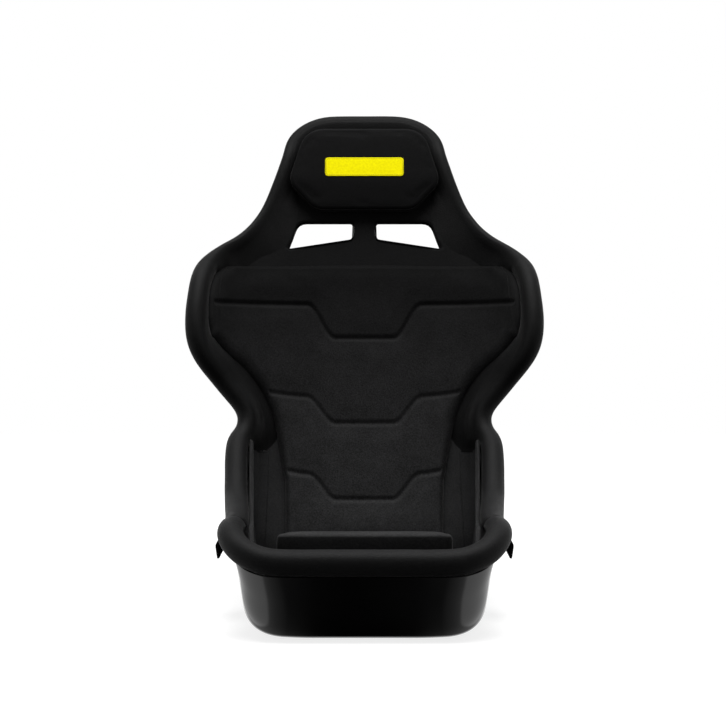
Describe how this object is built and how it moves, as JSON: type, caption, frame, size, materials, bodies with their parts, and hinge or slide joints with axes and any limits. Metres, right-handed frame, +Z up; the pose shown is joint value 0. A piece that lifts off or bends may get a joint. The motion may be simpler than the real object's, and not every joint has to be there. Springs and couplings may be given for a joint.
{
  "type": "racing bucket seat",
  "caption": "Fixed-back racing bucket seat with a moulded shell, a padded rolled edge, belt slots, and separate headrest, back, seat and side cushions.",
  "frame": {"origin": "on the underside, at the centre of the rectangle of base inserts", "axes": "+Z up, -Y the way the seat faces, +X to the right as seen from the front, which is the sitter's left"},
  "size_m": [0.5774, 0.5901, 0.831],
  "materials": {
    "shell": "glossy black moulded laminate",
    "liner_fabric": "matte black knit over thin foam",
    "roll_fabric": "matte black knit over a foam roll",
    "cushion_fabric": "matte black grainy knit over foam",
    "headrest_fabric": "matte black fine knit over foam",
    "patch_fabric": "plain yellow woven patch",
    "riser_foam": "dark grey foam",
    "slot_trim": "satin black moulded trim",
    "base_plate": "black painted steel",
    "insert": "plain steel",
    "hook_strip": "black hook and loop strip"
  },
  "bodies": {
    "root": {"shell": "shell", "back_liner": "liner_fabric", "side_liner_right": "liner_fabric", "side_liner_left": "liner_fabric", "edge_roll": "roll_fabric", "front_roll": "roll_fabric", "back_cushion": "cushion_fabric", "headrest_cushion": "headrest_fabric", "headrest_patch": "patch_fabric", "seat_cushion": "cushion_fabric", "seat_riser": "riser_foam", "side_cushion_right": "cushion_fabric", "side_cushion_left": "cushion_fabric", "shoulder_slot_trim_right": "slot_trim", "shoulder_slot_trim_left": "slot_trim", "lap_belt_guide_right": "slot_trim", "lap_belt_guide_left": "slot_trim", "crotch_slot_trim": "slot_trim", "base_plate_right": "base_plate", "base_plate_left": "base_plate", "base_inserts": "insert", "back_hook_strips": "hook_strip", "head_hook_strips": "hook_strip", "seat_hook_strips": "hook_strip"}
  },
  "joints": []
}
